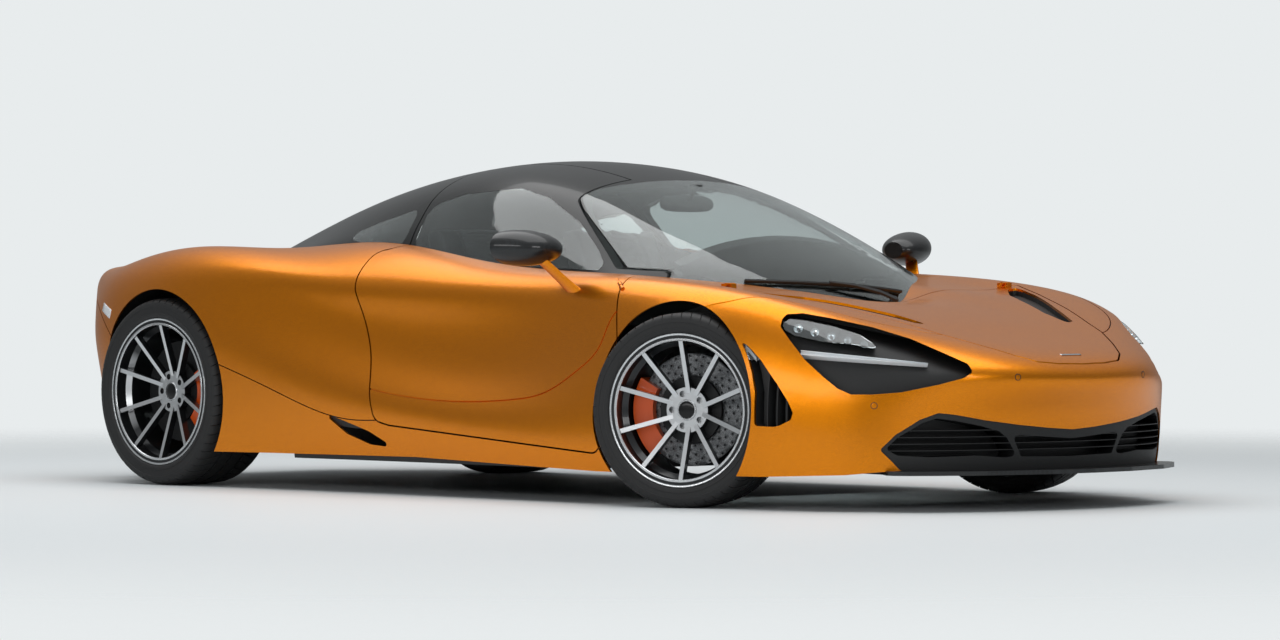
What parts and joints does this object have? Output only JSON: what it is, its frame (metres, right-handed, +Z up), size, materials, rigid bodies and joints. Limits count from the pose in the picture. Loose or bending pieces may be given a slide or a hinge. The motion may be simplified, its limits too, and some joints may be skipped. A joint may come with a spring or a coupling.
{
  "type": "mid-engined two-seat sports car",
  "caption": "Low mid-engined sports car with upward-swinging doors, steering, free-turning wheels, a lifting luggage lid and a tilting rear wing.",
  "frame": {"origin": "on the ground, under the middle of the overall box", "axes": "+X forward, +Y the car's left, +Z up"},
  "size_m": [4.5427, 2.1596, 1.1897],
  "materials": {
    "orange_paint": "metallic orange with a satin clear coat",
    "black_gloss": "gloss black",
    "glass": "light grey tint",
    "black_composite": "carbon fibre laminate, satin",
    "aluminium": "cast, bare",
    "orange_caliper": "orange lacquer",
    "black_plastic": "moulded, matt",
    "black_leather": "dark, fine grain",
    "tyre": "rubber",
    "alloy": "forged, machined faces on grey",
    "clear_lens": "clear, polished",
    "red_lens": "deep red, polished",
    "steel": "brushed stainless",
    "ceramic_disc": "speckled grey ceramic"
  },
  "bodies": {
    "chassis": {"front_bumper": "orange_paint", "front_fenders": "orange_paint", "side_skirts": "orange_paint", "quarter_panels": "orange_paint", "rear_deck": "orange_paint", "rear_bumper": "orange_paint", "roof": "black_gloss", "cabin_frame": "black_gloss", "windscreen": "glass", "rear_glass": "glass", "quarter_glass": "glass", "panel_carriers": "black_composite", "tub": "black_composite", "splitter": "black_composite", "diffuser": "black_composite", "front_frame": "aluminium", "rear_frame": "aluminium", "engine_block": "aluminium", "front_suspension": "aluminium", "rear_suspension": "aluminium", "rear_uprights": "aluminium", "rear_calipers": "orange_caliper", "wheel_liners": "black_plastic", "seats": "black_leather", "dashboard": "black_leather", "steering_column": "aluminium", "headlamps": "black_plastic", "lamp_lenses": "clear_lens", "grilles": "black_plastic", "tail_lamps": "red_lens", "exhausts": "steel", "luggage_tray": "black_plastic"},
    "door_left": {"door_left": "orange_paint", "door_frame_left": "black_gloss", "door_glass_left": "glass", "mirror_left": "black_composite"},
    "door_right": {"door_right": "orange_paint", "door_frame_right": "black_gloss", "door_glass_right": "glass", "mirror_right": "black_composite"},
    "bonnet": {"bonnet": "orange_paint", "bonnet_vents": "black_plastic"},
    "rear_wing": {"rear_wing": "orange_paint"},
    "steering_wheel": {"steering_wheel": "black_leather"},
    "knuckle_fl": {"knuckle_fl": "aluminium", "caliper_fl": "orange_caliper"},
    "knuckle_fr": {"knuckle_fr": "aluminium", "caliper_fr": "orange_caliper"},
    "wheel_fl": {"tyre_fl": "tyre", "rim_fl": "alloy", "brake_disc_fl": "ceramic_disc"},
    "wheel_fr": {"tyre_fr": "tyre", "rim_fr": "alloy", "brake_disc_fr": "ceramic_disc"},
    "wheel_rl": {"tyre_rl": "tyre", "rim_rl": "alloy", "brake_disc_rl": "ceramic_disc"},
    "wheel_rr": {"tyre_rr": "tyre", "rim_rr": "alloy", "brake_disc_rr": "ceramic_disc"}
  },
  "joints": [
    {"name": "steer_left", "type": "hinge", "parent": "chassis", "child": "knuckle_fl", "pos_m": [1.19, 0.775, 0.327], "axis": [0, 0, 1], "range_deg": [-50.5, 9.5]},
    {"name": "steer_right", "type": "hinge", "parent": "chassis", "child": "knuckle_fr", "pos_m": [1.19, -0.775, 0.327], "axis": [0, 0, 1], "range_deg": [-50.5, 9.5]},
    {"name": "steering_wheel_turn", "type": "hinge", "parent": "chassis", "child": "steering_wheel", "pos_m": [0.33, 0.335, 0.735], "axis": [-0.9272, 0, 0.3746], "range_deg": [-656.5, 123.5]},
    {"name": "spin_front_left", "type": "hinge", "parent": "knuckle_fl", "child": "wheel_fl", "pos_m": [1.16829, 0.83307, 0.327], "axis": [-0.3502, 0.9367, 0], "continuous": true},
    {"name": "spin_front_right", "type": "hinge", "parent": "knuckle_fr", "child": "wheel_fr", "pos_m": [1.21171, -0.83307, 0.327], "axis": [-0.3502, 0.9367, 0], "continuous": true},
    {"name": "spin_rear_left", "type": "hinge", "parent": "chassis", "child": "wheel_rl", "pos_m": [-1.48, 0.8105, 0.3455], "axis": [0, 1, 0], "continuous": true},
    {"name": "spin_rear_right", "type": "hinge", "parent": "chassis", "child": "wheel_rr", "pos_m": [-1.48, -0.8105, 0.3455], "axis": [0, 1, 0], "continuous": true},
    {"name": "door_left_swing", "type": "hinge", "parent": "chassis", "child": "door_left", "pos_m": [0.88, 0.85, 0.74], "axis": [0.7957, 0.4564, -0.3983], "range_deg": [0, 70]},
    {"name": "door_right_swing", "type": "hinge", "parent": "chassis", "child": "door_right", "pos_m": [0.88, -0.85, 0.74], "axis": [-0.7957, 0.4564, 0.3983], "range_deg": [0, 70]},
    {"name": "bonnet_lift", "type": "hinge", "parent": "chassis", "child": "bonnet", "pos_m": [1.241, 0, 0.746], "axis": [0, -1, 0], "range_deg": [0, 55]},
    {"name": "rear_wing_tilt", "type": "hinge", "parent": "chassis", "child": "rear_wing", "pos_m": [-1.963, 0, 0.813], "axis": [0, 1, 0], "range_deg": [0, 35]}
  ],
  "couplings": [
    {"joint": "steer_right", "follows": "steer_left", "ratio": 1},
    {"joint": "steering_wheel_turn", "follows": "steer_left", "ratio": 13}
  ]
}
